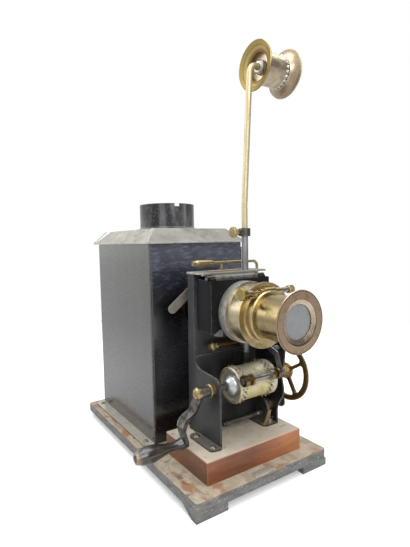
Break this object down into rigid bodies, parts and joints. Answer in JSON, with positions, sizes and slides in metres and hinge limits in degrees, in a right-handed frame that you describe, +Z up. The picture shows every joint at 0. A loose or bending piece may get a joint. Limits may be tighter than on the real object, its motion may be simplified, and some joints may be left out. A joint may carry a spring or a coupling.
{
  "type": "cinematograph",
  "caption": "Hand-cranked film projector with a lensed mechanism on a wooden block, a tall sheet-metal lamp house with a chimney, and a reel on a rod.",
  "frame": {"origin": "on the table, under the middle of the wooden base board", "axes": "+X across the machine from the crank to the drive gear, +Y from the lens to the lamp house door, +Z up"},
  "size_m": [0.1672, 0.2667, 0.3729],
  "materials": {
    "painted_board": "old paint, worn to the wood",
    "mahogany": "varnished hardwood",
    "black_sheet": "black japanned sheet",
    "grey_sheet": "dusty black paint",
    "tan_sheet": "worn sheet",
    "tinplate": "tinned sheet",
    "brass": "aged brass",
    "spring_brass": "drawn wire and strip",
    "bronze": "dark bronze",
    "steel": "bright steel, dulled",
    "nickel": "nickel plate",
    "turned_wood": "ebonised and polished",
    "glass": "clear optical glass"
  },
  "bodies": {
    "stand": {"base_board": "painted_board", "front_feet": "painted_board", "rear_feet": "painted_board", "mechanism_block": "mahogany", "lamphouse_body": "black_sheet", "wood_screws": "steel", "condenser_cell": "brass", "condenser_lenses": "glass", "door_hinge": "black_sheet", "left_cheek": "black_sheet", "right_cheek": "black_sheet", "back_plate": "black_sheet", "aperture_plate": "steel", "gate_frame": "steel", "gate_springs": "spring_brass", "top_shelf": "grey_sheet", "gate_hinge": "black_sheet", "top_guide_rod": "brass", "arm_tube": "steel", "tube_bracket": "black_sheet", "arm_clamp": "brass", "shaft_bushes": "brass", "film_stripper": "brass", "arm_spring": "steel", "framing_spring": "spring_brass"},
    "lid_assembly": {"lid": "grey_sheet", "chimney": "black_sheet"},
    "door": {"rear_door": "black_sheet", "door_knob": "brass"},
    "lamp": {"oil_font": "tinplate", "burner": "brass", "lamp_glass": "glass", "reflector": "tinplate"},
    "wick_winder": {"wick_wheel": "brass"},
    "crank_and_drum": {"main_shaft": "steel", "crank_arm": "steel", "crank_screw": "brass", "sprocket_drum": "brass", "sprocket_teeth": "brass", "drum_cap": "nickel", "drive_gear": "bronze"},
    "handle": {"crank_handle": "turned_wood"},
    "beater": {"beater_shaft": "steel", "beater_pinion": "steel"},
    "beater_sleeve": {"beater_roller": "steel"},
    "lens_door": {"gate_box": "black_sheet", "gate_catch": "nickel", "lens_mount": "brass"},
    "lens": {"lens_barrel": "brass", "lens_glasses": "glass"},
    "focus": {"focus_pinion": "brass"},
    "douser_flag": {"douser": "tan_sheet"},
    "guide_arm": {"roller_arm": "nickel"},
    "guide": {"guide_roller": "brass"},
    "top_sleeve": {"guide_sleeve": "brass"},
    "framing": {"framing_knob": "brass"},
    "clamp_screw": {"thumb_screw": "brass"},
    "foot_nut": {"wing_nut": "steel"},
    "reel_support": {"reel_arm": "brass"},
    "reel": {"feed_reel": "brass"}
  },
  "joints": [
    {"name": "lid_lift", "type": "slide", "parent": "stand", "child": "lid_assembly", "axis": [0, 0, 1], "range_m": [0, 0.06]},
    {"name": "door_hinge", "type": "hinge", "parent": "stand", "child": "door", "pos_m": [0.049, 0.1119, 0.1], "axis": [0, 0, -1], "range_deg": [0, 110]},
    {"name": "lamp_slide", "type": "slide", "parent": "stand", "child": "lamp", "axis": [0, 1, 0], "range_m": [-0.01, 0.01]},
    {"name": "wick_turn", "type": "hinge", "parent": "lamp", "child": "wick_winder", "pos_m": [0.0075, 0.05, 0.095], "axis": [0, 1, 0], "continuous": true},
    {"name": "crank_turn", "type": "hinge", "parent": "stand", "child": "crank_and_drum", "pos_m": [0, -0.081, 0.079], "axis": [1, 0, 0], "continuous": true},
    {"name": "handle_spin", "type": "hinge", "parent": "crank_and_drum", "child": "handle", "pos_m": [-0.074, -0.07468, 0.0391], "axis": [1, 0, 0], "continuous": true},
    {"name": "beater_turn", "type": "hinge", "parent": "stand", "child": "beater", "pos_m": [0.044, -0.073, 0.04853], "axis": [1, 0, 0], "continuous": true},
    {"name": "beater_sleeve_spin", "type": "hinge", "parent": "beater", "child": "beater_sleeve", "pos_m": [0.009, -0.073, 0.04303], "axis": [1, 0, 0], "continuous": true},
    {"name": "lens_door_hinge", "type": "hinge", "parent": "stand", "child": "lens_door", "pos_m": [0.006, -0.0735, 0.1685], "axis": [-1, 0, 0], "range_deg": [0, 80]},
    {"name": "focus_slide", "type": "slide", "parent": "lens_door", "child": "lens", "axis": [0, -1, 0], "range_m": [-0.008, 0.008]},
    {"name": "focus_knob_turn", "type": "hinge", "parent": "lens_door", "child": "focus", "pos_m": [0.0075, -0.107, 0.1584], "axis": [-1, 0, 0], "range_deg": [-235, 235]},
    {"name": "douser_swing", "type": "hinge", "parent": "stand", "child": "douser_flag", "pos_m": [-0.018, -0.035, 0.1557], "axis": [0, -1, 0], "range_deg": [0, 50]},
    {"name": "guide_arm_swing", "type": "hinge", "parent": "stand", "child": "guide_arm", "pos_m": [0.035, -0.087, 0.1045], "axis": [-1, 0, 0], "range_deg": [0, 25], "stiffness_Nm_per_rad": 0.01, "springref_deg": -17.19},
    {"name": "guide_roller_spin", "type": "hinge", "parent": "guide_arm", "child": "guide", "pos_m": [0.0075, -0.09925, 0.0872], "axis": [1, 0, 0], "continuous": true},
    {"name": "top_sleeve_spin", "type": "hinge", "parent": "stand", "child": "top_sleeve", "pos_m": [-0.018, -0.055, 0.1802], "axis": [1, 0, 0], "continuous": true},
    {"name": "framing_turn", "type": "hinge", "parent": "stand", "child": "framing", "pos_m": [0, -0.063, 0.109], "axis": [1, 0, 0], "range_deg": [-180, 180]},
    {"name": "clamp_screw_turn", "type": "hinge", "parent": "stand", "child": "clamp_screw", "pos_m": [0.01, -0.063, 0.2065], "axis": [1, 0, 0], "range_deg": [-180, 180]},
    {"name": "foot_nut_turn", "type": "hinge", "parent": "stand", "child": "foot_nut", "pos_m": [0.0342, -0.079, 0.037], "axis": [0, 0, 1], "range_deg": [-180, 180]},
    {"name": "reel_arm_swivel", "type": "hinge", "parent": "stand", "child": "reel_support", "pos_m": [0.0215, -0.063, 0.18], "axis": [0, 0, 1], "range_deg": [-180, 180]},
    {"name": "reel_spin", "type": "hinge", "parent": "reel_support", "child": "reel", "pos_m": [0.052, -0.065, 0.3515], "axis": [1, 0, 0], "continuous": true}
  ],
  "couplings": [
    {"joint": "beater_turn", "follows": "crank_turn", "ratio": -5},
    {"joint": "focus_knob_turn", "follows": "focus_slide", "rad_per_m": 500}
  ]
}
